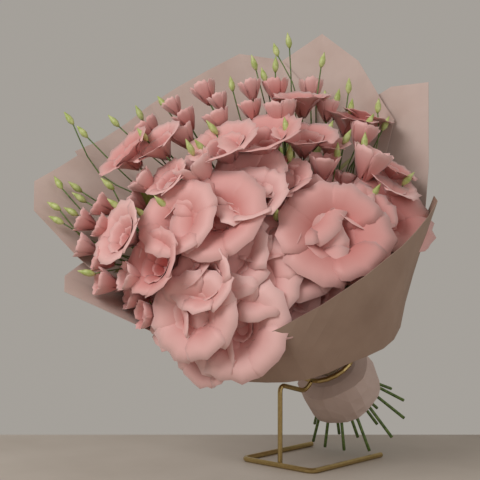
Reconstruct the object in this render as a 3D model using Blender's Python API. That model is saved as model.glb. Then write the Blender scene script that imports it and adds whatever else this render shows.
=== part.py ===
"""A wrapped, hand-tied lisianthus bouquet leaning in a brass rod stand.

Metres, +Z up. The bouquet is seen from -Y, and it leans to the left (-X) and towards the viewer.
The origin is the middle of the footprint, at the level of the table.
"""
import math
import random

import bmesh
import bpy
import numpy as np
from mathutils import Matrix, Vector
from mathutils.kdtree import KDTree

# Driving dimensions
WAIST = Vector((0.158, 0.055, 0.155))           # where the stems cross under the tie
AXIS = Vector((-0.421, -0.461, 0.781)).normalized()
BACK = (Vector((0, 1, 0)) - AXIS.y * AXIS).normalized()
LEFT = AXIS.cross(BACK)
STEM_RADIUS = 0.00275
STEM_GAP = 0.0009                               # between neighbours at the waist
BRANCH_RADIUS = 0.0015
STALK_RADIUS = 0.0012
SPIRAL_TWIST = 48.0                             # sideways run of a stem, per metre up and metre out
OUTER_RING = 2.15                               # radius of the outer ring of stems over the inner one's
RULED_TOP = 0.075                               # stems are straight up to here above the waist
STEM_LENGTH = 0.135                             # below the waist
TABLE_CLEARANCE = 0.009                         # lowest middle of a cut stem end
SAMPLE_SPACING = 0.005
ROUTE_ROOM = 0.0072                             # between the middles of two sprays' branches
HEAD_ROOM = 0.003                               # between a branch's middle and a bloom or bud
WRAP_ROOM = 0.009                               # between a branch's middle and the paper
CLEARING_ROUNDS = 60
SHEET_THICKNESS = 0.0008
SHEET_PITCH = 0.0014                            # from one paper layer to the next at the waist
LAYER_SPREAD = 0.020                            # layers part by this much per metre of reach
SHEET_BASE = 0.0180                             # radius of the innermost paper layer at the tie
ROD_RADIUS = 0.0042
BASE_CORNER = Vector((0.117, -0.093, ROD_RADIUS))
BASE_LEFT = Vector((0.005, 0.006, ROD_RADIUS))
BASE_RIGHT_END = Vector((0.245, 0.039, ROD_RADIUS))
BASE_BACK_END = Vector((0.132, 0.137, ROD_RADIUS))
POST_FOOT = Vector((0.065, -0.036, 0.0))
POST_TOP = 0.136
RING_RADIUS = 0.050
RING_HEIGHT = 0.0142                            # above the waist along the axis

# Opening angle of the wrap, in degrees off the axis, every 45 degrees round it from the front
WRAP_ANGLES = (53, 62, 57, 49, 39, 36, 38, 49)

COLUMN_STEP = 9                                 # degrees between the paper's columns
ROW_SHARES = (0, 0.5, 1)

# Blooms: across, up, lift towards the viewer, width, all in centimetres
CUPS = (
    (-6, 63.5, -1, 4.5), (-11.5, 61, -1.5, 3.5), (-9, 58, -.5, 4), (-3.5, 61.5, -1.5, 3.5),
    (-3.5, 57.5, 0, 4.5), (-9.5, 54.5, 0, 4.5), (-15.5, 56.5, -2, 4.5), (-15.5, 46.5, 0, 4.5),
    (-6, 48, 1, 6.5), (-2, 47.5, -1.5, 4.5), (-22.5, 43, 0, 4), (-25.5, 40.5, .5, 4),
    (-22, 39.5, .5, 4), (-17, 44, -2, 4), (-5.5, 44, -1.5, 4), (-14.5, 38.5, -1.5, 4),
    (2, 64, -1, 4), (6.5, 64, -1, 4.5), (2, 59.5, .5, 4), (7, 58.5, 1.5, 5.5),
    (13, 65, -2, 4.5), (15, 60, 0, 4), (20.5, 55.5, 0, 5), (9.5, 48.5, 0, 4),
    (13.5, 48.5, 1, 5), (21, 49.5, 1.5, 6.5), (-25.5, 36, 1, 4), (-22, 34, 1.5, 4),
    (-20.5, 30, 1.5, 4.5), (-17, 31, 1.5, 4.5), (-15, 35, 0, 4.5), (-9.5, 32.5, 0, 4),
    (-21.5, 25.5, 1, 4.5), (-18, 23.5, 1.5, 4.5), (-14, 24.5, 1, 4.5), (-9, 29, 1, 4.5),
    (-6, 37, 1, 4.5), (.5, 50, -2, 4), (17.5, 47.5, -2, 4),
)
ROSES = (
    (-13, 53, 1, 5), (-18.5, 51.5, 0, 5.5), (-2, 51.5, 1, 6), (-18, 38, 2, 5.5), (-11.5, 42.5, -1, 4),
    (11, 61, 0, 5), (3.5, 53, 1, 7), (10.5, 53.5, 1.5, 5.5), (19, 57.5, -.5, 5), (25, 58, -1.5, 4.5),
    (26, 49, -.5, 4), (24.5, 46.5, .5, 5), (6.5, 45.5, 1.5, 5.5), (2.5, 43, 2.5, 6), (15, 44.5, -.5, 6),
    (4.5, 38.5, 1.5, 6), (19.5, 41.5, 1.5, 5.5), (10.5, 38, .5, 4), (-12, 33.5, 2, 5.5), (-10.5, 24.5, 1, 4.5),
    (-8, 21, 1, 4.5), (-4, 21.5, 2, 6), (-4.5, 31.5, 2, 5.5), (-1.5, 28.5, 1.5, 5), (-7, 34.5, 1, 5),
    (10, 30, 2.5, 6), (13, 32.5, 1, 4.5), (17, 34.5, 1.5, 5.5), (21.5, 37, .5, 4.5), (-13, 28, -2, 4),
    (12, 41.5, -2.5, 4), (-11, 47, 1.5, 4), (15, 53, 0, 3.5),
)
OPEN_BLOOMS = (
    (-9, 40, 2.5, 5.5), (-3.5, 40.5, 2.5, 6), (2, 47, 1.5, 5), (8.5, 41.5, 1, 6), (24, 41, 1.5, 6),
    (14, 37.5, 3, 7), (-7, 26, 3, 5.5), (-1.5, 34, 2.5, 5.5), (-1, 24, 2.5, 6.5), (2.5, 31, 2.5, 5.5),
    (5, 28, 2, 6), (9, 35, 3, 6),
)
# Green buds: across and up, in centimetres
BUDS = (
    (-30.5, 59.5), (-28, 57), (-22.5, 59), (-18, 60.5), (-14, 62.5), (-16.5, 55.5), (-1.5, 65.5),
    (-4.5, 56.5), (-6.5, 53), (-5.5, 51), (-22, 47), (-20.5, 43.5), (-32.5, 46), (-27.5, 45),
    (-29, 44), (-29.5, 42), (-32, 40), (-33, 38.5), (-16, 42), (-12.5, 43.5), (-5.5, 48), (-2.5, 46),
    (2.5, 70), (4, 68), (6.5, 72.5), (6, 70.5), (8.5, 74), (15, 70.5), (15, 62.5), (17.5, 63.5),
    (19, 65), (19.5, 62), (24.5, 61.5), (24.5, 58.5), (21.5, 57), (15, 56), (18, 55), (15, 51),
    (7.5, 56), (8, 52.5), (20.5, 52.5), (22, 46.5), (27, 47.5), (7.5, 41.5), (12.5, 41), (-23.5, 31),
    (-7, 30), (-1, 28.5),
)
FACING = {"cup": 0.0, "rose": 0.35, "open": 0.75}   # how far a bloom turns to the viewer
BUD_LENGTH = 0.030
BUD_RADIUS = 0.0058
BUD_LIFT = 0.022


def material(name, colour, roughness, metallic=0.0):
    mat = bpy.data.materials.new(name)
    mat.use_nodes = True
    shader = mat.node_tree.nodes["Principled BSDF"]
    shader.inputs["Base Color"].default_value = (*colour, 1)
    shader.inputs["Roughness"].default_value = roughness
    shader.inputs["Metallic"].default_value = metallic
    return mat


def object_from(bm, name, mat, smooth=40):
    bmesh.ops.recalc_face_normals(bm, faces=bm.faces[:])
    mesh = bpy.data.meshes.new(name)
    bm.to_mesh(mesh)
    bm.free()
    mesh.materials.append(mat)
    mesh.shade_smooth()
    mesh.set_sharp_from_angle(angle=math.radians(smooth))
    obj = bpy.data.objects.new(name, mesh)
    bpy.context.collection.objects.link(obj)
    return obj


# ---- Layout of the flowers

def dome_depth(x, z):
    """Depth of the bouquet's front: an oval cushion that leans back towards its top."""
    inside = 1 - ((x - 0.014) / 0.30) ** 2 - ((z - 0.40) / 0.26) ** 2
    return 0.045 + 0.30 * (z - 0.40) - 0.15 * math.sqrt(max(0, inside))


def around(point):
    """Height along the axis, distance from it and angle round it."""
    offset = point - WAIST
    height = offset.dot(AXIS)
    side = offset - height * AXIS
    return height, side.length, math.atan2(side.dot(LEFT), side.dot(BACK))


def wrap_angle(angle):
    turn = (math.degrees(angle) + 180) % 360 / 45
    low = int(turn) % 8
    share = turn - int(turn)
    share = share * share * (3 - 2 * share)
    return math.radians(WRAP_ANGLES[low] * (1 - share) + WRAP_ANGLES[(low + 1) % 8] * share)


def inside_wrap(point, radius):
    """Moves a round thing in towards the axis until the paper cone clears it."""
    height, out, angle = around(point)
    cone = wrap_angle(angle)
    room = height * math.sin(cone) + SHEET_BASE * 0.8 - out * math.cos(cone) - radius
    if room >= 0:
        return point
    outward = math.cos(angle) * BACK + math.sin(angle) * LEFT
    return point + room * (math.cos(cone) * outward - math.sin(cone) * AXIS)


def place_blooms():
    """Every bloom's kind, middle, width and the way it faces, spread so that none meet."""
    rows = [("cup", row) for row in CUPS]
    rows += [("rose", row) for row in ROSES]
    rows += [("open", row) for row in OPEN_BLOOMS]
    kinds = [kind for kind, _ in rows]
    widths = [row[3] / 100 for _, row in rows]
    middles = [Vector((r[0] / 100, dome_depth(r[0] / 100, r[1] / 100) - r[2] / 100, r[1] / 100)) for _, r in rows]
    for _ in range(120):
        for i, a in enumerate(middles):
            for j in range(i):
                apart = a - middles[j]
                short = 0.47 * (widths[i] + widths[j]) + 0.002 - apart.length
                if short > 0:
                    push = Vector((0.5 * apart.x, 1.6 * apart.y + 1e-4, 0.5 * apart.z)).normalized() * short * 0.5
                    middles[i] = middles[i] + push
                    middles[j] = middles[j] - push
        middles = [inside_wrap(m, 0.46 * w + 0.006) for m, w in zip(middles, widths)]
    heart = WAIST + 0.11 * AXIS
    blooms = []
    for kind, width, middle in zip(kinds, widths, middles):
        outward = (middle - heart).normalized()
        facing = (outward + FACING[kind] * Vector((0, -1, 0.12))).normalized()
        blooms.append((kind, middle, width, facing))
    return blooms


def place_buds(blooms):
    """Every green bud's middle and the way it points, clear of the blooms and of each other."""
    rng = random.Random(11)
    heart = WAIST + 0.16 * AXIS
    buds = []
    for across, up in BUDS:
        x, z = across / 100, up / 100
        middle = inside_wrap(Vector((x, dome_depth(x, z) - BUD_LIFT, z)), 0.021)
        for _ in range(20):
            for other, room in [(m, 0.46 * w + 0.017) for _, m, w, _ in blooms] + [(m, 0.030) for m, _ in buds]:
                apart = middle - other
                if apart.length < room:
                    middle = inside_wrap(middle + apart.normalized() * (room - apart.length), 0.021)
        lean = Vector((rng.uniform(-1, 1), rng.uniform(-1, 1), rng.uniform(0, 1.4))) * 0.32
        buds.append((middle, ((middle - heart).normalized() + lean).normalized()))
    return buds


def stem_places():
    """Where each of the 19 stems crosses the waist: one, a ring of 6 and a ring of 12."""
    first = 2 * STEM_RADIUS + STEM_GAP
    places = [(0.0, 0.0)]
    places += [(first, math.tau * i / 6) for i in range(6)]
    places += [(OUTER_RING * first, math.tau * (i + 0.5) / 12) for i in range(12)]
    return [out * (math.cos(turn) * BACK + math.sin(turn) * LEFT) for out, turn in places]


def on_stem(place, height):
    return WAIST + place + height * (AXIS + SPIRAL_TWIST * AXIS.cross(place))


def share_out(places, targets, bloom_count):
    """Gives each bloom or bud to the stem that runs nearest to it, and evens the shares out."""
    centres = [on_stem(place, 0.30) for place in places]
    rays = [(target - WAIST).normalized() for target in targets]
    for _ in range(8):
        owners = [max(range(len(centres)), key=lambda i: (centres[i] - WAIST).normalized().dot(ray)) for ray in rays]
        for i in range(len(centres)):
            mine = [ray for ray, owner in zip(rays, owners) if owner == i]
            if mine:
                mean = sum(mine, Vector()).normalized()
                centres[i] = WAIST + 0.30 * ((centres[i] - WAIST).normalized() * 0.6 + mean * 0.4)
    for i, centre in enumerate(centres):
        if i not in owners:
            donors = [k for k in range(bloom_count) if owners.count(owners[k]) > 4]
            nearest = max(donors, key=lambda k: rays[k].dot((centre - WAIST).normalized()))
            owners[nearest] = i
    return owners


def bezier(a, b, c, d, steps):
    points = []
    for i in range(steps + 1):
        u = i / steps
        v = 1 - u
        points.append(v ** 3 * a + 3 * v * v * u * b + 3 * v * u * u * c + u ** 3 * d)
    return points


def grow_sprays():
    """Routes of every spray's main stem, branches and stalks, as points that keep clear of each other."""
    blooms = place_blooms()
    buds = place_buds(blooms)
    places = stem_places()
    ends = [(m - 0.36 * w * n, n, "bloom") for _, m, w, n in blooms]
    ends += [(m - 0.38 * BUD_LENGTH * n, n, "bud") for m, n in buds]
    owners = share_out(places, [end[0] for end in ends], len(blooms))
    routes = []
    for spray, place in enumerate(places):
        mine = [k for k, owner in enumerate(owners) if owner == spray]
        fork = on_stem(place, RULED_TOP)
        heading = (AXIS + SPIRAL_TWIST * AXIS.cross(place)).normalized()
        lead = [k for k in mine if ends[k][2] == "bloom"] or mine
        if not lead:
            continue
        lead = max(lead, key=lambda k: (ends[k][0] - fork).normalized().dot(heading))
        tip, facing, _ = ends[lead]
        reach = (tip - fork).length
        main = bezier(fork, fork + 0.3 * reach * heading, tip - 0.25 * reach * facing, tip, 5)
        routes.append([spray, lead, main, STEM_RADIUS * 0.8, None])
        others = sorted((k for k in mine if k != lead), key=lambda k: (ends[k][0] - fork).length)
        for order, k in enumerate(others):
            tip, facing, kind = ends[k]
            share = 0.5 + order / max(1, len(others) - 1)
            step = int(share)
            base = main[step].lerp(main[step + 1], share - step)
            reach = (tip - base).length
            turn = (main[2] - main[0]).normalized()
            radius = BRANCH_RADIUS if kind == "bloom" else STALK_RADIUS
            points = bezier(base, base + 0.3 * reach * turn, tip - 0.3 * reach * facing, tip, 4)
            routes.append([spray, k, points, radius, (main, step, share - step)])
    keep_clear(routes, blooms, buds)
    return blooms, buds, places, owners, routes


def along(routes):
    """Samples every few millimetres along the routes: point, route, step and share of the step."""
    samples = []
    for number, (_, _, points, _, _) in enumerate(routes):
        for step in range(len(points) - 1):
            count = max(2, math.ceil((points[step + 1] - points[step]).length / SAMPLE_SPACING))
            samples += [(points[step].lerp(points[step + 1], k / count), number, step, k / count) for k in range(count)]
    return samples


def tree_of(points):
    tree = KDTree(len(points))
    for number, point in enumerate(points):
        tree.insert(point, number)
    tree.balance()
    return tree


def keep_clear(routes, blooms, buds):
    """Pushes the free points of the routes off other sprays' routes and off blooms and buds."""
    heads = [(middle, 0.46 * width + HEAD_ROOM, k) for k, (_, middle, width, _) in enumerate(blooms)]
    for k, (middle, pointing) in enumerate(buds):
        for share in (-0.35, 0, 0.35):
            heads.append((middle + share * BUD_LENGTH * pointing, BUD_RADIUS + HEAD_ROOM, len(blooms) + k))
    head_tree = tree_of([head[0] for head in heads])
    widest = max(head[1] for head in heads)
    for _ in range(CLEARING_ROUNDS):
        samples = along(routes)
        tree = tree_of([sample[0] for sample in samples])
        moves = []
        for point, number, step, share in samples:
            spray, own, _, _, _ = routes[number]
            move = Vector()
            for other, index, distance in tree.find_range(point, ROUTE_ROOM):
                if routes[samples[index][1]][0] != spray and distance > 0:
                    move += (point - other) / distance * (ROUTE_ROOM - distance) * 0.5
            for middle, index, distance in head_tree.find_range(point, widest):
                _, room, head = heads[index]
                if head != own and distance < room:
                    move += (point - middle).normalized() * (room - distance) * 0.7
            if move.length > 0:
                moves.append((number, step, share, move * min(1, 0.003 / move.length)))
        for number, step, share, move in moves:
            points = routes[number][2]
            if step > 0:
                points[step] = inside_wrap(points[step] + move * (1 - share), WRAP_ROOM)
            if step + 1 < len(points) - 1:
                points[step + 1] = inside_wrap(points[step + 1] + move * share, WRAP_ROOM)
        for _, _, points, _, joint in routes:
            if joint:
                main, step, share = joint
                points[0] = main[step].lerp(main[step + 1], share)


# ---- Solids

def tube(points, radii, sides):
    """A closed tube along the points."""
    bm = bmesh.new()
    rings = []
    forward = (points[1] - points[0]).normalized()
    side = forward.orthogonal().normalized()
    for i, (point, radius) in enumerate(zip(points, radii)):
        ahead = points[min(i + 1, len(points) - 1)] - points[max(i - 1, 0)]
        ahead.normalize()
        side = (side - side.dot(ahead) * ahead).normalized()
        up = ahead.cross(side)
        turns = [math.tau * k / sides for k in range(sides)]
        rings.append([bm.verts.new(point + radius * (math.cos(t) * side + math.sin(t) * up)) for t in turns])
    for low, high in zip(rings, rings[1:]):
        for k in range(sides):
            bm.faces.new((low[k], low[(k + 1) % sides], high[(k + 1) % sides], high[k]))
    bm.faces.new(rings[0][::-1])
    bm.faces.new(rings[-1])
    return bm


def turned(middle, facing, profile, sides):
    """A closed turned form: (height, radius) from its base to its top, with poles at both ends."""
    bm = bmesh.new()
    frame = Matrix.Translation(middle) @ facing.to_track_quat("Z", "Y").to_matrix().to_4x4()
    rings = []
    for height, radius in profile:
        if radius == 0:
            rings.append([bm.verts.new(frame @ Vector((0, 0, height)))])
        else:
            turns = [math.tau * k / sides for k in range(sides)]
            rings.append([bm.verts.new(frame @ Vector((radius * math.cos(t), radius * math.sin(t), height))) for t in turns])
    for low, high in zip(rings, rings[1:]):
        for k in range(sides):
            loop = [low[k % len(low)], low[(k + 1) % len(low)], high[(k + 1) % len(high)], high[k % len(high)]]
            bm.faces.new(list(dict.fromkeys(loop)))
    return bm


def bloom_form(kind, middle, width, facing):
    length = 0.92 * width if kind == "open" else 1.0 * width
    radius = 0.40 * width
    profile = ((-0.45 * length, 0), (-0.15 * length, 0.8 * radius), (0.32 * length, radius), (-0.10 * length, 0))
    return turned(middle, facing, profile, 7)


def bud_form(middle, facing):
    profile = ((-0.5 * BUD_LENGTH, 0), (-0.2 * BUD_LENGTH, BUD_RADIUS), (0.5 * BUD_LENGTH, 0))
    return turned(middle, facing, profile, 5)


def union(name, parts, mat):
    """Joins closed forms into one body."""
    whole = object_from(parts[0], name, mat)
    for number, bm in enumerate(parts[1:]):
        tool = object_from(bm, f"{name}_tool_{number}", mat)
        tool.hide_render = True
        tool.display_type = "WIRE"
        join = whole.modifiers.new(f"join_{number}", "BOOLEAN")
        join.operation = "UNION"
        join.object = tool
    return whole


def build_sprays(mat):
    blooms, buds, places, owners, routes = grow_sprays()
    sprays = []
    for spray, place in enumerate(places):
        parts = []
        main = [route for route in routes if route[0] == spray]
        if not main:
            continue
        foot = -STEM_LENGTH
        while on_stem(place, foot).z < TABLE_CLEARANCE:
            foot += 0.002
        points = [on_stem(place, foot), on_stem(place, 0)] + main[0][2]
        radii = [STEM_RADIUS] * 3 + [STEM_RADIUS * 0.8] * (len(points) - 3)
        parts.append(tube(points, radii, 6))
        for _, _, route, radius, _ in main[1:]:
            parts.append(tube(route, [radius] * len(route), 4))
        for k, owner in enumerate(owners):
            if owner != spray:
                continue
            if k < len(blooms):
                parts.append(bloom_form(*blooms[k]))
            else:
                parts.append(bud_form(*buds[k - len(blooms)]))
        sprays.append(union(f"spray_{spray + 1:02d}", parts, mat))
    return sprays


def paper_point(angle, reach, layer, cone=None):
    """A point of the paper: reach from the waist, in one of the layers."""
    cone = wrap_angle(angle) if cone is None else cone
    base = SHEET_BASE + layer * SHEET_PITCH
    outward = math.cos(angle) * BACK + math.sin(angle) * LEFT
    stand_off = layer * LAYER_SPREAD * reach
    height = 0.004 + reach * math.cos(cone) - stand_off * math.sin(cone)
    return WAIST + height * AXIS + (base + reach * math.sin(cone) + stand_off * math.cos(cone)) * outward


def reach_at(corners, angle):
    """Straight cut edge between (degrees, reach) corners."""
    for (a0, r0), (a1, r1) in zip(corners, corners[1:]):
        if a0 <= angle <= a1:
            spread = 0.7
            first, last = math.radians(angle - a0) * spread, math.radians(a1 - angle) * spread
            if first + last == 0:
                return r0
            return r0 * r1 * math.sin(first + last) / (r0 * math.sin(first) + r1 * math.sin(last))
    return corners[-1][1]


def sheet(name, columns, mat):
    """A thin closed sheet from columns of points."""
    bm = bmesh.new()
    grid = [[bm.verts.new(point) for point in column] for column in columns]
    for left, right in zip(grid, grid[1:]):
        for i in range(len(left) - 1):
            bm.faces.new((left[i], right[i], right[i + 1], left[i + 1]))
    bm.normal_update()
    outward = 0
    for face in bm.faces:
        offset = face.calc_center_median() - WAIST
        outward += face.normal.dot((offset - offset.dot(AXIS) * AXIS).normalized())
    if outward < 0:
        bmesh.ops.reverse_faces(bm, faces=bm.faces[:])
    bmesh.ops.solidify(bm, geom=bm.faces[:], thickness=SHEET_THICKNESS)
    return object_from(bm, name, mat, 30)


def back_sheet(name, corners, layer, mat):
    first, last = corners[0][0], corners[-1][0]
    between = [angle for angle in range(-180, 180, COLUMN_STEP) if first + 2 < angle < last - 2]
    angles = sorted({first, last, *between})
    columns = []
    for degrees in angles:
        top = reach_at(corners, degrees)
        columns.append([paper_point(math.radians(degrees), top * share, layer) for share in ROW_SHARES])
    return sheet(name, columns, mat)


# Paper sheets behind the flowers: layer, then the cut edge's corners (degrees round the axis, reach)
BACK_SHEETS = {
    "wrap_top": (2, ((-58, 0.44), (-47, 0.53), (-40, 0.645), (-29, 0.60), (-4, 0.46), (8, 0.40))),
    "wrap_upper_left": (1, ((-34, 0.50), (-24, 0.625), (-11, 0.595), (6, 0.585), (26, 0.57), (37, 0.585), (46, 0.44))),
    "wrap_left": (0, ((30, 0.50), (36, 0.57), (59, 0.605), (64, 0.555), (69, 0.50), (80, 0.40))),
    "wrap_lower_left": (1, ((60, 0.42), (78, 0.475), (94, 0.475), (96, 0.40), (112, 0.20))),
    "wrap_right": (3, ((-80, 0.29), (-76, 0.325), (-70, 0.40), (-64, 0.52), (-50, 0.50), (-36, 0.42))),
}
# Front collar: degrees, reach of the crease, opening angle and reach of the rim
FRONT = (
    (122, 0.215, 40, 0.225), (130, 0.205, 36, 0.240), (150, 0.200, 34, 0.262), (175, 0.200, 34, 0.285),
    (200, 0.185, 36, 0.305), (222, 0.165, 39, 0.315), (245, 0.165, 44, 0.315), (262, 0.200, 50, 0.335),
    (274, 0.240, 54, 0.330),
)
FRONT_LAYER = 1
FRONT_COLUMNS = 15


def front_collar(mat):
    columns = []
    marks = [row[0] for row in FRONT]
    for degrees in np.linspace(marks[0], marks[-1], FRONT_COLUMNS):
        crease, cone, rim = (float(np.interp(degrees, marks, [row[k] for row in FRONT])) for k in (1, 2, 3))
        angle = math.radians(degrees)
        inner = [paper_point(angle, crease * i / 3, FRONT_LAYER) for i in range(4)]
        top = paper_point(angle, rim, FRONT_LAYER, math.radians(cone))
        bulge = (inner[-1] - WAIST).normalized() * 0.006
        wall = [inner[-1].lerp(top, i / 4) + bulge * math.sin(math.pi * i / 4) for i in range(1, 5)]
        columns.append(inner + wall)
    return sheet("wrap_front", columns, mat)


def ring_points(height, radius, count):
    turns = [math.tau * i / count for i in range(count)]
    return [WAIST + height * AXIS + radius * (math.cos(t) * BACK + math.sin(t) * LEFT) for t in turns]


def shell_of_rings(name, rings, mat, thickness=None):
    """A closed band: rings of points joined into a wall, then back along the inside."""
    bm = bmesh.new()
    loops = [[bm.verts.new(point) for point in ring] for ring in rings]
    for low, high in zip(loops, loops[1:] + loops[:1] if thickness is None else loops[1:]):
        count = len(low)
        for k in range(count):
            bm.faces.new((low[k], low[(k + 1) % count], high[(k + 1) % count], high[k]))
    if thickness:
        bmesh.ops.recalc_face_normals(bm, faces=bm.faces[:])
        bmesh.ops.solidify(bm, geom=bm.faces[:], thickness=thickness)
    return object_from(bm, name, mat, 35)


def skirt(mat):
    """The crumpled paper cuff under the tie."""
    count = 20
    profile = ((-0.0036, 0.0184), (-0.006, 0.045), (-0.014, 0.066), (-0.036, 0.069), (-0.060, 0.067), (-0.078, 0.062))
    rings = []
    for number, (height, radius) in enumerate(profile):
        ring = []
        for k in range(count):
            turn = math.tau * k / count
            fold = 0.0022 * math.sin(5 * turn + number) * min(1, max(0, number - 1))
            outward = math.cos(turn) * BACK + math.sin(turn) * LEFT
            ring.append(WAIST + height * AXIS + (radius + fold) * outward)
        rings.append(ring)
    return shell_of_rings("wrap_skirt", rings, mat, SHEET_THICKNESS)


def tie(mat):
    inner = OUTER_RING * (2 * STEM_RADIUS + STEM_GAP) + STEM_RADIUS + 0.0005
    outer = inner + 0.0016
    rings = [ring_points(h, r, 24) for h, r in ((-0.003, inner), (-0.003, outer), (0.0035, outer), (0.0035, inner))]
    return shell_of_rings("tie_band", rings, mat)


def rod(name, points, mat, radius=ROD_RADIUS):
    return object_from(tube(points, [radius] * len(points), 8), name, mat)


def rounded(corner, before, after, radius=0.012, steps=4):
    start = corner + (before - corner).normalized() * radius
    end = corner + (after - corner).normalized() * radius
    return bezier(start, corner.lerp(start, 0.4), corner.lerp(end, 0.4), end, steps)


def flat_tube(name, points, mat):
    """A rod along the table with one face straight down."""
    bm = bmesh.new()
    loops = []
    for i, point in enumerate(points):
        ahead = (points[min(i + 1, len(points) - 1)] - points[max(i - 1, 0)]).normalized()
        side = ahead.cross(Vector((0, 0, 1)))
        loop = []
        for k in range(8):
            turn = math.tau * (k + 0.5) / 8
            size = ROD_RADIUS / math.cos(math.pi / 8)
            loop.append(bm.verts.new(point + size * (math.cos(turn) * side + math.sin(turn) * Vector((0, 0, 1)))))
        loops.append(loop)
    for low, high in zip(loops, loops[1:]):
        for k in range(8):
            bm.faces.new((low[k], low[(k + 1) % 8], high[(k + 1) % 8], high[k]))
    bm.faces.new(loops[0][::-1])
    bm.faces.new(loops[-1])
    return object_from(bm, name, mat)


def stand(mat):
    left = rounded(BASE_LEFT, BASE_BACK_END, BASE_CORNER)
    front = rounded(BASE_CORNER, BASE_LEFT, BASE_RIGHT_END)
    base = flat_tube("stand_base", [BASE_BACK_END] + left + front + [BASE_RIGHT_END], mat)
    across = (BASE_CORNER - BASE_LEFT).normalized()
    inward = Vector((0, 0, 1)).cross(across)
    foot = BASE_LEFT.lerp(BASE_CORNER, 0.5) + inward * (2 * ROD_RADIUS + 0.0003)
    top = Vector((foot.x, foot.y, POST_TOP))
    centre = WAIST + RING_HEIGHT * AXIS
    towards = top - centre
    towards = (towards - towards.dot(AXIS) * AXIS).normalized()
    arm_end = centre + towards * (RING_RADIUS + ROD_RADIUS + 0.0006)
    elbow = arm_end + towards * 0.02
    low = foot + Vector((0, 0, 0.0))
    post = [low, low + Vector((0, 0, 0.02))] + rounded(top, low, elbow, 0.012) + rounded(elbow, top, arm_end, 0.008) + [arm_end]
    post_object = rod("stand_post", post, mat, 0.0040)
    ring = []
    for height, radius in [(ROD_RADIUS * math.sin(math.tau * k / 8), ROD_RADIUS * math.cos(math.tau * k / 8)) for k in range(8)]:
        ring.append(ring_points(RING_HEIGHT + height, RING_RADIUS + radius, 20))
    ring_object = shell_of_rings("stand_ring", ring, mat)
    return [base, post_object, ring_object]


def main():
    for obj in list(bpy.data.objects):
        bpy.data.objects.remove(obj)
    flower = material("petals_and_stems", (0.79, 0.38, 0.34), 0.6)
    paper = material("blush_paper", (0.52, 0.42, 0.37), 0.75)
    collar = material("taupe_paper", (0.34, 0.22, 0.16), 0.75)
    brass = material("brass", (0.38, 0.27, 0.11), 0.3, 1.0)
    jute = material("tie", (0.30, 0.22, 0.14), 0.9)
    pieces = build_sprays(flower)
    for name, (layer, corners) in BACK_SHEETS.items():
        pieces.append(back_sheet(name, corners, layer, paper))
    pieces += [front_collar(collar), skirt(paper), tie(jute)]
    pieces += stand(brass)
    bpy.context.view_layer.update()
    graph = bpy.context.evaluated_depsgraph_get()
    spots = []
    for piece in pieces:
        spots += [v.co.copy() for v in piece.evaluated_get(graph).data.vertices]
    middle_x = (min(s.x for s in spots) + max(s.x for s in spots)) / 2
    middle_y = (min(s.y for s in spots) + max(s.y for s in spots)) / 2
    origin = bpy.data.objects.new("bouquet_origin", None)
    bpy.context.collection.objects.link(origin)
    origin.location = (-middle_x, -middle_y, 0)
    for obj in list(bpy.data.objects):
        if obj.type == "MESH":
            obj.parent = origin


main()
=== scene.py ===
"""Looks of the wrapped lisianthus bouquet on its brass stand."""
import math
import random

import bmesh
import bpy
from mathutils import Matrix, Vector
from mathutils.kdtree import KDTree


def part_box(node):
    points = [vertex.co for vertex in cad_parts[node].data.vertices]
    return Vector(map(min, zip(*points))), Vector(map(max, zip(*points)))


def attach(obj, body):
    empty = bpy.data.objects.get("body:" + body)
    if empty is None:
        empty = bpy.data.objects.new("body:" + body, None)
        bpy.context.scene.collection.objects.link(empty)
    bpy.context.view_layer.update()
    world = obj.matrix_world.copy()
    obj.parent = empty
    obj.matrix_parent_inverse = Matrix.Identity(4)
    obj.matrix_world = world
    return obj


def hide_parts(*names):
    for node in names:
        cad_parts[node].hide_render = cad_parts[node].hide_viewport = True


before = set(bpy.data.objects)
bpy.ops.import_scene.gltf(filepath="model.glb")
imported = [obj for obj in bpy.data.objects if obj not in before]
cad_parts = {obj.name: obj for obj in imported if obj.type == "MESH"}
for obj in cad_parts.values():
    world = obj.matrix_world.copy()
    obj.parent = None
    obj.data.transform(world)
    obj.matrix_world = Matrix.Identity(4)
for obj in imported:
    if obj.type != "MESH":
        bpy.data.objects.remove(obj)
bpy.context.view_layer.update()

# Driving dimensions of the bouquet's layout, repeated from the part
WAIST = Vector((0.158, 0.055, 0.155))           # where the stems cross under the tie
AXIS = Vector((-0.421, -0.461, 0.781)).normalized()
BACK = (Vector((0, 1, 0)) - AXIS.y * AXIS).normalized()
LEFT = AXIS.cross(BACK)
STEM_RADIUS = 0.00275
STEM_GAP = 0.0009                               # between neighbours at the waist
BRANCH_RADIUS = 0.0015
STALK_RADIUS = 0.0012
SPIRAL_TWIST = 48.0                             # sideways run of a stem, per metre up and metre out
OUTER_RING = 2.15                               # radius of the outer ring of stems over the inner one's
RULED_TOP = 0.075                               # stems are straight up to here above the waist
STEM_LENGTH = 0.135                             # below the waist
TABLE_CLEARANCE = 0.009                         # lowest middle of a cut stem end
SAMPLE_SPACING = 0.005
ROUTE_ROOM = 0.0072                             # between the middles of two sprays' branches
HEAD_ROOM = 0.003                               # between a branch's middle and a bloom or bud
WRAP_ROOM = 0.009                               # between a branch's middle and the paper
CLEARING_ROUNDS = 60
SHEET_BASE = 0.0180                             # radius of the innermost paper layer at the tie
ROD_RADIUS = 0.0042
BASE_RIGHT_END = Vector((0.245, 0.039, ROD_RADIUS))
BASE_BACK_END = Vector((0.132, 0.137, ROD_RADIUS))

# Opening angle of the wrap, in degrees off the axis, every 45 degrees round it from the front
WRAP_ANGLES = (53, 62, 57, 49, 39, 36, 38, 49)

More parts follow.
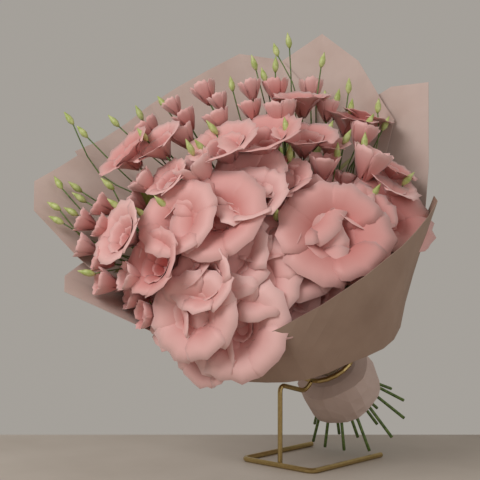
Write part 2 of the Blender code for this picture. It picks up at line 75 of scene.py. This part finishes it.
# Blooms: across, up, lift towards the viewer, width, all in centimetres
CUPS = (
    (-6, 63.5, -1, 4.5), (-11.5, 61, -1.5, 3.5), (-9, 58, -.5, 4), (-3.5, 61.5, -1.5, 3.5),
    (-3.5, 57.5, 0, 4.5), (-9.5, 54.5, 0, 4.5), (-15.5, 56.5, -2, 4.5), (-15.5, 46.5, 0, 4.5),
    (-6, 48, 1, 6.5), (-2, 47.5, -1.5, 4.5), (-22.5, 43, 0, 4), (-25.5, 40.5, .5, 4),
    (-22, 39.5, .5, 4), (-17, 44, -2, 4), (-5.5, 44, -1.5, 4), (-14.5, 38.5, -1.5, 4),
    (2, 64, -1, 4), (6.5, 64, -1, 4.5), (2, 59.5, .5, 4), (7, 58.5, 1.5, 5.5),
    (13, 65, -2, 4.5), (15, 60, 0, 4), (20.5, 55.5, 0, 5), (9.5, 48.5, 0, 4),
    (13.5, 48.5, 1, 5), (21, 49.5, 1.5, 6.5), (-25.5, 36, 1, 4), (-22, 34, 1.5, 4),
    (-20.5, 30, 1.5, 4.5), (-17, 31, 1.5, 4.5), (-15, 35, 0, 4.5), (-9.5, 32.5, 0, 4),
    (-21.5, 25.5, 1, 4.5), (-18, 23.5, 1.5, 4.5), (-14, 24.5, 1, 4.5), (-9, 29, 1, 4.5),
    (-6, 37, 1, 4.5), (.5, 50, -2, 4), (17.5, 47.5, -2, 4),
)
ROSES = (
    (-13, 53, 1, 5), (-18.5, 51.5, 0, 5.5), (-2, 51.5, 1, 6), (-18, 38, 2, 5.5), (-11.5, 42.5, -1, 4),
    (11, 61, 0, 5), (3.5, 53, 1, 7), (10.5, 53.5, 1.5, 5.5), (19, 57.5, -.5, 5), (25, 58, -1.5, 4.5),
    (26, 49, -.5, 4), (24.5, 46.5, .5, 5), (6.5, 45.5, 1.5, 5.5), (2.5, 43, 2.5, 6), (15, 44.5, -.5, 6),
    (4.5, 38.5, 1.5, 6), (19.5, 41.5, 1.5, 5.5), (10.5, 38, .5, 4), (-12, 33.5, 2, 5.5), (-10.5, 24.5, 1, 4.5),
    (-8, 21, 1, 4.5), (-4, 21.5, 2, 6), (-4.5, 31.5, 2, 5.5), (-1.5, 28.5, 1.5, 5), (-7, 34.5, 1, 5),
    (10, 30, 2.5, 6), (13, 32.5, 1, 4.5), (17, 34.5, 1.5, 5.5), (21.5, 37, .5, 4.5), (-13, 28, -2, 4),
    (12, 41.5, -2.5, 4), (-11, 47, 1.5, 4), (15, 53, 0, 3.5),
)
OPEN_BLOOMS = (
    (-9, 40, 2.5, 5.5), (-3.5, 40.5, 2.5, 6), (2, 47, 1.5, 5), (8.5, 41.5, 1, 6), (24, 41, 1.5, 6),
    (14, 37.5, 3, 7), (-7, 26, 3, 5.5), (-1.5, 34, 2.5, 5.5), (-1, 24, 2.5, 6.5), (2.5, 31, 2.5, 5.5),
    (5, 28, 2, 6), (9, 35, 3, 6),
)
# Green buds: across and up, in centimetres
BUDS = (
    (-30.5, 59.5), (-28, 57), (-22.5, 59), (-18, 60.5), (-14, 62.5), (-16.5, 55.5), (-1.5, 65.5),
    (-4.5, 56.5), (-6.5, 53), (-5.5, 51), (-22, 47), (-20.5, 43.5), (-32.5, 46), (-27.5, 45),
    (-29, 44), (-29.5, 42), (-32, 40), (-33, 38.5), (-16, 42), (-12.5, 43.5), (-5.5, 48), (-2.5, 46),
    (2.5, 70), (4, 68), (6.5, 72.5), (6, 70.5), (8.5, 74), (15, 70.5), (15, 62.5), (17.5, 63.5),
    (19, 65), (19.5, 62), (24.5, 61.5), (24.5, 58.5), (21.5, 57), (15, 56), (18, 55), (15, 51),
    (7.5, 56), (8, 52.5), (20.5, 52.5), (22, 46.5), (27, 47.5), (7.5, 41.5), (12.5, 41), (-23.5, 31),
    (-7, 30), (-1, 28.5),
)
FACING = {"cup": 0.0, "rose": 0.35, "open": 0.75}   # how far a bloom turns to the viewer
BUD_LENGTH = 0.030
BUD_RADIUS = 0.0058
BUD_LIFT = 0.022


# ---- Layout of the flowers

def dome_depth(x, z):
    """Depth of the bouquet's front: an oval cushion that leans back towards its top."""
    inside = 1 - ((x - 0.014) / 0.30) ** 2 - ((z - 0.40) / 0.26) ** 2
    return 0.045 + 0.30 * (z - 0.40) - 0.15 * math.sqrt(max(0, inside))


def around(point):
    """Height along the axis, distance from it and angle round it."""
    offset = point - WAIST
    height = offset.dot(AXIS)
    side = offset - height * AXIS
    return height, side.length, math.atan2(side.dot(LEFT), side.dot(BACK))


def wrap_angle(angle):
    turn = (math.degrees(angle) + 180) % 360 / 45
    low = int(turn) % 8
    share = turn - int(turn)
    share = share * share * (3 - 2 * share)
    return math.radians(WRAP_ANGLES[low] * (1 - share) + WRAP_ANGLES[(low + 1) % 8] * share)


def inside_wrap(point, radius):
    """Moves a round thing in towards the axis until the paper cone clears it."""
    height, out, angle = around(point)
    cone = wrap_angle(angle)
    room = height * math.sin(cone) + SHEET_BASE * 0.8 - out * math.cos(cone) - radius
    if room >= 0:
        return point
    outward = math.cos(angle) * BACK + math.sin(angle) * LEFT
    return point + room * (math.cos(cone) * outward - math.sin(cone) * AXIS)


def place_blooms():
    """Every bloom's kind, middle, width and the way it faces, spread so that none meet."""
    rows = [("cup", row) for row in CUPS]
    rows += [("rose", row) for row in ROSES]
    rows += [("open", row) for row in OPEN_BLOOMS]
    kinds = [kind for kind, _ in rows]
    widths = [row[3] / 100 for _, row in rows]
    middles = []
    for _, (across, up, lift, _) in rows:
        middles.append(Vector((across / 100, dome_depth(across / 100, up / 100) - lift / 100, up / 100)))
    for _ in range(120):
        for i, a in enumerate(middles):
            for j in range(i):
                apart = a - middles[j]
                short = 0.47 * (widths[i] + widths[j]) + 0.002 - apart.length
                if short > 0:
                    push = Vector((0.5 * apart.x, 1.6 * apart.y + 1e-4, 0.5 * apart.z))
                    push = push.normalized() * short * 0.5
                    middles[i] = middles[i] + push
                    middles[j] = middles[j] - push
        middles = [inside_wrap(m, 0.46 * w + 0.006) for m, w in zip(middles, widths)]
    heart = WAIST + 0.11 * AXIS
    blooms = []
    for kind, width, middle in zip(kinds, widths, middles):
        outward = (middle - heart).normalized()
        facing = (outward + FACING[kind] * Vector((0, -1, 0.12))).normalized()
        blooms.append((kind, middle, width, facing))
    return blooms


def place_buds(blooms):
    """Every green bud's middle and the way it points, clear of the blooms and of each other."""
    rng = random.Random(11)
    heart = WAIST + 0.16 * AXIS
    buds = []
    for across, up in BUDS:
        x, z = across / 100, up / 100
        middle = inside_wrap(Vector((x, dome_depth(x, z) - BUD_LIFT, z)), 0.021)
        for _ in range(20):
            taken = [(m, 0.46 * w + 0.017) for _, m, w, _ in blooms]
            taken += [(m, 0.030) for m, _ in buds]
            for other, room in taken:
                apart = middle - other
                if apart.length < room:
                    middle = inside_wrap(middle + apart.normalized() * (room - apart.length), 0.021)
        lean = Vector((rng.uniform(-1, 1), rng.uniform(-1, 1), rng.uniform(0, 1.4))) * 0.32
        buds.append((middle, ((middle - heart).normalized() + lean).normalized()))
    return buds


def stem_places():
    """Where each of the 19 stems crosses the waist: one, a ring of 6 and a ring of 12."""
    first = 2 * STEM_RADIUS + STEM_GAP
    places = [(0.0, 0.0)]
    places += [(first, math.tau * i / 6) for i in range(6)]
    places += [(OUTER_RING * first, math.tau * (i + 0.5) / 12) for i in range(12)]
    return [out * (math.cos(turn) * BACK + math.sin(turn) * LEFT) for out, turn in places]


def on_stem(place, height):
    return WAIST + place + height * (AXIS + SPIRAL_TWIST * AXIS.cross(place))


def share_out(places, targets, bloom_count):
    """Gives each bloom or bud to the stem that runs nearest to it, and evens the shares out."""
    centres = [on_stem(place, 0.30) for place in places]
    rays = [(target - WAIST).normalized() for target in targets]
    for _ in range(8):
        headings = [(centre - WAIST).normalized() for centre in centres]
        owners = [max(range(len(centres)), key=lambda i: headings[i].dot(ray)) for ray in rays]
        for i in range(len(centres)):
            mine = [ray for ray, owner in zip(rays, owners) if owner == i]
            if mine:
                mean = sum(mine, Vector()).normalized()
                centres[i] = WAIST + 0.30 * ((centres[i] - WAIST).normalized() * 0.6 + mean * 0.4)
    for i, centre in enumerate(centres):
        if i not in owners:
            donors = [k for k in range(bloom_count) if owners.count(owners[k]) > 4]
            nearest = max(donors, key=lambda k: rays[k].dot((centre - WAIST).normalized()))
            owners[nearest] = i
    return owners


def bezier(a, b, c, d, steps):
    points = []
    for i in range(steps + 1):
        u = i / steps
        v = 1 - u
        points.append(v ** 3 * a + 3 * v * v * u * b + 3 * v * u * u * c + u ** 3 * d)
    return points


def grow_sprays():
    """Routes of every spray's main stem, branches and stalks, as points that keep clear of each other."""
    blooms = place_blooms()
    buds = place_buds(blooms)
    places = stem_places()
    ends = [(m - 0.36 * w * n, n, "bloom") for _, m, w, n in blooms]
    ends += [(m - 0.38 * BUD_LENGTH * n, n, "bud") for m, n in buds]
    owners = share_out(places, [end[0] for end in ends], len(blooms))
    routes = []
    for spray, place in enumerate(places):
        mine = [k for k, owner in enumerate(owners) if owner == spray]
        fork = on_stem(place, RULED_TOP)
        heading = (AXIS + SPIRAL_TWIST * AXIS.cross(place)).normalized()
        lead = [k for k in mine if ends[k][2] == "bloom"] or mine
        if not lead:
            continue
        lead = max(lead, key=lambda k: (ends[k][0] - fork).normalized().dot(heading))
        tip, facing, _ = ends[lead]
        reach = (tip - fork).length
        main = bezier(fork, fork + 0.3 * reach * heading, tip - 0.25 * reach * facing, tip, 5)
        routes.append([spray, lead, main, STEM_RADIUS * 0.8, None])
        others = sorted((k for k in mine if k != lead), key=lambda k: (ends[k][0] - fork).length)
        for order, k in enumerate(others):
            tip, facing, kind = ends[k]
            share = 0.5 + order / max(1, len(others) - 1)
            step = int(share)
            base = main[step].lerp(main[step + 1], share - step)
            reach = (tip - base).length
            turn = (main[2] - main[0]).normalized()
            radius = BRANCH_RADIUS if kind == "bloom" else STALK_RADIUS
            points = bezier(base, base + 0.3 * reach * turn, tip - 0.3 * reach * facing, tip, 4)
            routes.append([spray, k, points, radius, (main, step, share - step)])
    keep_clear(routes, blooms, buds)
    return blooms, buds, places, owners, routes


def along(routes):
    """Samples every few millimetres along the routes: point, route, step and share of the step."""
    samples = []
    for number, (_, _, points, _, _) in enumerate(routes):
        for step in range(len(points) - 1):
            count = max(2, math.ceil((points[step + 1] - points[step]).length / SAMPLE_SPACING))
            for k in range(count):
                samples.append((points[step].lerp(points[step + 1], k / count), number, step, k / count))
    return samples


def tree_of(points):
    tree = KDTree(len(points))
    for number, point in enumerate(points):
        tree.insert(point, number)
    tree.balance()
    return tree


def keep_clear(routes, blooms, buds):
    """Pushes the free points of the routes off other sprays' routes and off blooms and buds."""
    heads = [(middle, 0.46 * width + HEAD_ROOM, k) for k, (_, middle, width, _) in enumerate(blooms)]
    for k, (middle, pointing) in enumerate(buds):
        for share in (-0.35, 0, 0.35):
            heads.append((middle + share * BUD_LENGTH * pointing, BUD_RADIUS + HEAD_ROOM, len(blooms) + k))
    head_tree = tree_of([head[0] for head in heads])
    widest = max(head[1] for head in heads)
    for _ in range(CLEARING_ROUNDS):
        samples = along(routes)
        tree = tree_of([sample[0] for sample in samples])
        moves = []
        for point, number, step, share in samples:
            spray, own, _, _, _ = routes[number]
            move = Vector()
            for other, index, distance in tree.find_range(point, ROUTE_ROOM):
                if routes[samples[index][1]][0] != spray and distance > 0:
                    move += (point - other) / distance * (ROUTE_ROOM - distance) * 0.5
            for middle, index, distance in head_tree.find_range(point, widest):
                _, room, head = heads[index]
                if head != own and distance < room:
                    move += (point - middle).normalized() * (room - distance) * 0.7
            if move.length > 0:
                moves.append((number, step, share, move * min(1, 0.003 / move.length)))
        for number, step, share, move in moves:
            points = routes[number][2]
            if step > 0:
                points[step] = inside_wrap(points[step] + move * (1 - share), WRAP_ROOM)
            if step + 1 < len(points) - 1:
                points[step + 1] = inside_wrap(points[step + 1] + move * share, WRAP_ROOM)
        for _, _, points, _, joint in routes:
            if joint:
                main, step, share = joint
                points[0] = main[step].lerp(main[step + 1], share)


# ---- The looks

# From the layout's frame to the model's, whose origin is the middle of the footprint
stand_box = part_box("stand_base")
SHIFT = Vector((stand_box[1][0] - BASE_RIGHT_END.x, stand_box[1][1] - BASE_BACK_END.y, 0))
SHIFT -= Vector((ROD_RADIUS * 0.7, ROD_RADIUS * 0.7, 0))

# Each ring of petals from the outside in: how many, how long over the bloom's width, how far they open
PETAL_RINGS = {
    "cup": ((5, 0.46, 0.10), (4, 0.36, 0.05)),
    "rose": ((6, 0.56, 0.9), (5, 0.44, 0.55), (4, 0.3, 0.3)),
    "open": ((6, 0.60, 1.3), (5, 0.46, 0.9), (4, 0.28, 0.5)),
}
PETAL_STRETCH = 1.9
PETAL_THICKNESS = 0.0004
# A bud's outline: height over its length, radius over its widest
BUD_PROFILE = ((-0.5, 0.25), (-0.4, 0.6), (-0.2, 1.0), (0.05, 0.9), (0.3, 0.45), (0.5, 0.08))
LEAF_LENGTH = 0.05
LEAF_WIDTH = 0.017
LEAF_CURL = 0.008
EYE_DISTANCE = 1.70
EYE_HEIGHT = 0.36
HORIZON_SHIFT = 1 / 48                          # of the picture's height
LAMPS = (("key", (-1.6, -1.5, 1.9), 1.4, 34), ("fill", (1.6, -1.8, 1.0), 1.6, 7))   # place, size, power


def finish_piece(bm, name, mats, thickness=0.0):
    bmesh.ops.recalc_face_normals(bm, faces=bm.faces[:])
    mesh = bpy.data.meshes.new(name)
    bm.to_mesh(mesh)
    bm.free()
    for mat in mats:
        mesh.materials.append(mat)
    mesh.shade_smooth()
    obj = bpy.data.objects.new(name, mesh)
    bpy.context.scene.collection.objects.link(obj)
    if thickness:
        wall = obj.modifiers.new("wall", "SOLIDIFY")
        wall.thickness = thickness
        wall.offset = 0
    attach(obj, "root")
    return obj


def shade(name, low, high, roughness, scale, bump=0.2, metallic=0.0, sheen=0.0, painted_hollow_shade=False):
    """A procedural finish: two tones in soft clouds, or along a per-vertex attribute that carries painted
    shade on the petals, and a fine bump.
    """
    mat = bpy.data.materials.new(name)
    mat.use_nodes = True
    tree = mat.node_tree
    shader = tree.nodes["Principled BSDF"]
    place = tree.nodes.new("ShaderNodeTexCoord")
    clouds = tree.nodes.new("ShaderNodeTexNoise")
    clouds.inputs["Scale"].default_value = scale
    clouds.inputs["Detail"].default_value = 6
    ramp = tree.nodes.new("ShaderNodeValToRGB")
    ramp.color_ramp.elements[0].color = (*low, 1)
    ramp.color_ramp.elements[1].color = (*high, 1)
    ramp.color_ramp.elements[0].position = 0.3
    ramp.color_ramp.elements[1].position = 0.7
    relief = tree.nodes.new("ShaderNodeBump")
    relief.inputs["Strength"].default_value = bump
    relief.inputs["Distance"].default_value = 0.0005
    tree.links.new(place.outputs["Object"], clouds.inputs["Vector"])
    tree.links.new(clouds.outputs["Fac"], relief.inputs["Height"])
    tree.links.new(relief.outputs["Normal"], shader.inputs["Normal"])
    # On the petals the ramp follows an attribute that is darker at each petal's base and on the inner rings:
    # painted shade in the bloom's hollow
    if painted_hollow_shade:
        tone_and_shade = tree.nodes.new("ShaderNodeAttribute")
        tone_and_shade.attribute_name = "tone_and_shade"
        tree.links.new(tone_and_shade.outputs["Fac"], ramp.inputs["Fac"])
        ramp.color_ramp.elements[0].position = 0.0
        ramp.color_ramp.elements[1].position = 1.0
    else:
        tree.links.new(clouds.outputs["Fac"], ramp.inputs["Fac"])
    tree.links.new(ramp.outputs["Color"], shader.inputs["Base Color"])
    shader.inputs["Roughness"].default_value = roughness
    shader.inputs["Metallic"].default_value = metallic
    shader.inputs["Sheen Weight"].default_value = sheen
    return mat


def add_petal(bm, tone_and_shade, at, turn, size, width, flare, tint, rng):
    """One cupped petal: a small grid bent up from the bloom's base, with a ruffled rim."""
    grid = bmesh.ops.create_grid(bm, x_segments=6, y_segments=6, size=0.5)["verts"]
    phase = rng.uniform(0, 6.28)
    for vert in grid:
        u, v = vert.co.x, vert.co.y + 0.5
        spread = width * (0.25 + 0.75 * math.sin(min(1, v * 1.15) * math.pi * 0.55))
        spread *= 1 - 0.25 * max(0, v - 0.8) * 5 * abs(u) * 2
        lean = flare * v * v
        out = size * (0.10 + 0.42 * math.sin(v * 1.5)) + size * 0.45 * lean * v
        up = size * (1.02 * v - 0.34 * lean * v)
        angle = turn + u * spread * 2
        ruffle = 0.035 * size * v * v * math.sin(u * 17 + phase)
        ruffle += 0.02 * size * v * math.sin(u * 9 + v * 7 + phase)
        out += ruffle
        up += ruffle * 0.6 - 0.05 * size * (2 * u) ** 4 * v
        vert.co = at @ Vector((out * math.cos(angle), out * math.sin(angle), up))
        # Darker towards the petal's base and paler towards its tip: painted shade in the bloom's hollow, added
        # to the bloom's random tint
        vert[tone_and_shade] = min(1, max(0, 0.25 + 0.75 * v ** 2.2 + tint))


def add_bloom(bm, tone_and_shade, kind, middle, width, facing, rng):
    base = middle - 0.45 * width * facing
    spin = Matrix.Rotation(rng.uniform(0, 6.28), 4, "Z")
    at = Matrix.Translation(base + SHIFT) @ facing.to_track_quat("Z", "Y").to_matrix().to_4x4() @ spin
    tint = rng.uniform(-0.28, 0.2)
    for ring, (count, reach, flare) in enumerate(PETAL_RINGS[kind]):
        for k in range(count):
            turn = math.tau * (k + 0.5 * ring) / count + rng.uniform(-0.12, 0.12)
            size = width * (1.05 - 0.10 * ring) * reach * PETAL_STRETCH
            opening = flare * rng.uniform(0.85, 1.1)
            # Each ring further in is darker by 0.12: painted shade deep inside the bloom
            add_petal(bm, tone_and_shade, at, turn, size, 0.75 + 0.1 * ring, opening, tint - 0.12 * ring, rng)


def add_tube(bm, points, radii, sides=8):
    """A closed round tube through the points, with a radius at each."""
    rings = []
    side = (points[1] - points[0]).orthogonal().normalized()
    for i, (point, radius) in enumerate(zip(points, radii)):
        ahead = (points[min(i + 1, len(points) - 1)] - points[max(i - 1, 0)]).normalized()
        side = (side - side.dot(ahead) * ahead).normalized()
        turn = Matrix((side, ahead.cross(side), ahead)).transposed().to_4x4()
        place = Matrix.Translation(point + SHIFT) @ turn
        ring = bmesh.ops.create_circle(bm, segments=sides, radius=radius, matrix=place)
        rings.append(ring["verts"])
    for low, high in zip(rings, rings[1:]):
        edges = set()
        for ring in (low, high):
            edges.update(e for v in ring for e in v.link_edges if all(w in ring for w in e.verts))
        bmesh.ops.bridge_loops(bm, edges=list(edges))
    bm.faces.new(rings[0])
    bm.faces.new(rings[-1])


def smooth_route(points, steps=3):
    out = []
    for i in range(len(points) - 1):
        before = points[max(i - 1, 0)]
        after = points[min(i + 2, len(points) - 1)]
        a, b = points[i], points[i + 1]
        out += bezier(a, a + (b - before) / 6, b - (after - a) / 6, b, steps)[:-1]
    return out + [points[-1]]


def add_stem(bm, place, mine):
    """The main stem from its cut end to its bloom, and the branches and stalks that leave it."""
    foot = -STEM_LENGTH
    while on_stem(place, foot).z < TABLE_CLEARANCE:
        foot += 0.002
    main = [on_stem(place, foot)] + [on_stem(place, h) for h in (foot * 0.5, 0)] + mine[0][2]
    main = smooth_route(main)
    add_tube(bm, main, [STEM_RADIUS * (1 - 0.35 * i / len(main)) for i in range(len(main))])
    for _, _, route, radius, _ in mine[1:]:
        route = smooth_route(route)
        add_tube(bm, route, [radius] * len(route), 6)


def add_leaf(bm, route, share, rng):
    """A pointed leaf that leaves the stem to one side and curls away from it."""
    spot = route[share] + SHIFT
    heading = (route[share + 1] - route[share]).normalized()
    stray = Vector((rng.uniform(-1, 1), rng.uniform(-1, 1), rng.uniform(-1, 1)))
    out = (heading.orthogonal() + stray).normalized()
    grow = (heading + 0.8 * out).normalized()
    across = grow.cross(heading).normalized()
    for vert in bmesh.ops.create_grid(bm, x_segments=3, y_segments=6, size=0.5)["verts"]:
        u, v = vert.co.x, vert.co.y + 0.5
        wide = LEAF_WIDTH * math.sin(math.pi * min(1, v + 0.03)) * 1.1 + 0.0006
        vert.co = spot + grow * LEAF_LENGTH * v + across * u * wide * 2 + out * LEAF_CURL * v * v


def make_sprays():
    # Petals run from dark red at the base to pale pink at the tip: painted shade in each bloom's hollow, over
    # a random tint per bloom
    petal = shade("petal", (0.62, 0.17, 0.15), (0.90, 0.56, 0.53), 0.55, 90, 0.25, sheen=0.3, painted_hollow_shade=True)
    stem = shade("stem", (0.05, 0.10, 0.02), (0.17, 0.26, 0.06), 0.5, 160)
    bud = shade("bud", (0.36, 0.45, 0.10), (0.66, 0.70, 0.32), 0.45, 120)
    blooms, buds, places, owners, routes = grow_sprays()
    rng = random.Random(5)
    for spray, place in enumerate(places):
        number = f"{spray + 1:02d}"
        own = [k for k, owner in enumerate(owners) if owner == spray]
        mine = [route for route in routes if route[0] == spray]
        bm = bmesh.new()
        tone_and_shade = bm.verts.layers.float.new("tone_and_shade")
        for k in own:
            if k < len(blooms):
                add_bloom(bm, tone_and_shade, *blooms[k], rng)
        petals = finish_piece(bm, f"blooms_{number}", [petal], PETAL_THICKNESS)
        bm = bmesh.new()
        add_stem(bm, place, mine)
        finish_piece(bm, f"stems_{number}", [stem])
        bm = bmesh.new()
        for k in own:
            if k >= len(blooms):
                middle, facing = buds[k - len(blooms)]
                points = [middle + h * BUD_LENGTH * facing for h, _ in BUD_PROFILE]
                add_tube(bm, points, [BUD_RADIUS * r for _, r in BUD_PROFILE])
        for _, _, route, _, _ in mine:
            for share in (1, 2):
                add_leaf(bm, route, share, rng)
        finish_piece(bm, f"greens_{number}", [bud])
        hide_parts(f"spray_{number}")


def dress_frame():
    blush = shade("blush_paper", (0.56, 0.42, 0.37), (0.64, 0.50, 0.45), 0.8, 14, 0.5)
    # The same paper colour darkened for the front sheet: painted shade, where it faces down and away from the
    # lamps
    shaded_paper = shade("taupe_paper", (0.33, 0.22, 0.165), (0.40, 0.275, 0.21), 0.8, 14, 0.5)
    brass = shade("satin_brass", (0.42, 0.30, 0.12), (0.50, 0.37, 0.16), 0.32, 200, 0.05, metallic=1.0)
    twine = shade("twine", (0.22, 0.16, 0.10), (0.34, 0.26, 0.17), 0.9, 400)
    for name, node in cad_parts.items():
        if name.startswith("spray"):
            continue
        if name.startswith("stand"):
            look = brass
        elif name.startswith("tie"):
            look = twine
        else:
            # The front sheet takes the darker copy of the paper: painted shade
            look = shaded_paper if name == "wrap_front" else blush
        node.data.materials.clear()
        node.data.materials.append(look)


def studio():
    bm = bmesh.new()
    bmesh.ops.create_grid(bm, x_segments=1, y_segments=1, size=1)
    for vert in bm.verts:
        vert.co = Vector((vert.co.x * 1.2, vert.co.y * 0.6 - 0.35, -0.0002))
    mesh = bpy.data.meshes.new("table")
    bm.to_mesh(mesh)
    bm.free()
    table = bpy.data.objects.new("table", mesh)
    bpy.context.scene.collection.objects.link(table)
    mesh.materials.append(shade("pale_table", (0.50, 0.44, 0.38), (0.56, 0.50, 0.44), 0.6, 6, 0.1))
    world = bpy.data.worlds.new("room")
    bpy.context.scene.world = world
    world.use_nodes = True
    world.node_tree.nodes["Background"].inputs["Color"].default_value = (0.50, 0.47, 0.43, 1)
    world.node_tree.nodes["Background"].inputs["Strength"].default_value = 0.75
    for name, place, size, power in LAMPS:
        lamp = bpy.data.lights.new(name, "AREA")
        lamp.size = size
        lamp.energy = power
        holder = bpy.data.objects.new(name, lamp)
        bpy.context.scene.collection.objects.link(holder)
        holder.location = place
        holder.rotation_euler = (Vector((0, 0, 0.4)) - Vector(place)).to_track_quat("-Z", "Y").to_euler()
    view = bpy.data.cameras.new("view")
    view.lens = 75
    eye = bpy.data.objects.new("view", view)
    bpy.context.scene.collection.objects.link(eye)
    eye.location = SHIFT + Vector((0, -EYE_DISTANCE, EYE_HEIGHT))
    eye.rotation_euler = (math.radians(90), 0, 0)
    view.shift_y = HORIZON_SHIFT
    bpy.context.scene.camera = eye
    bpy.context.scene.view_settings.view_transform = "Standard"


make_sprays()
dress_frame()
studio()
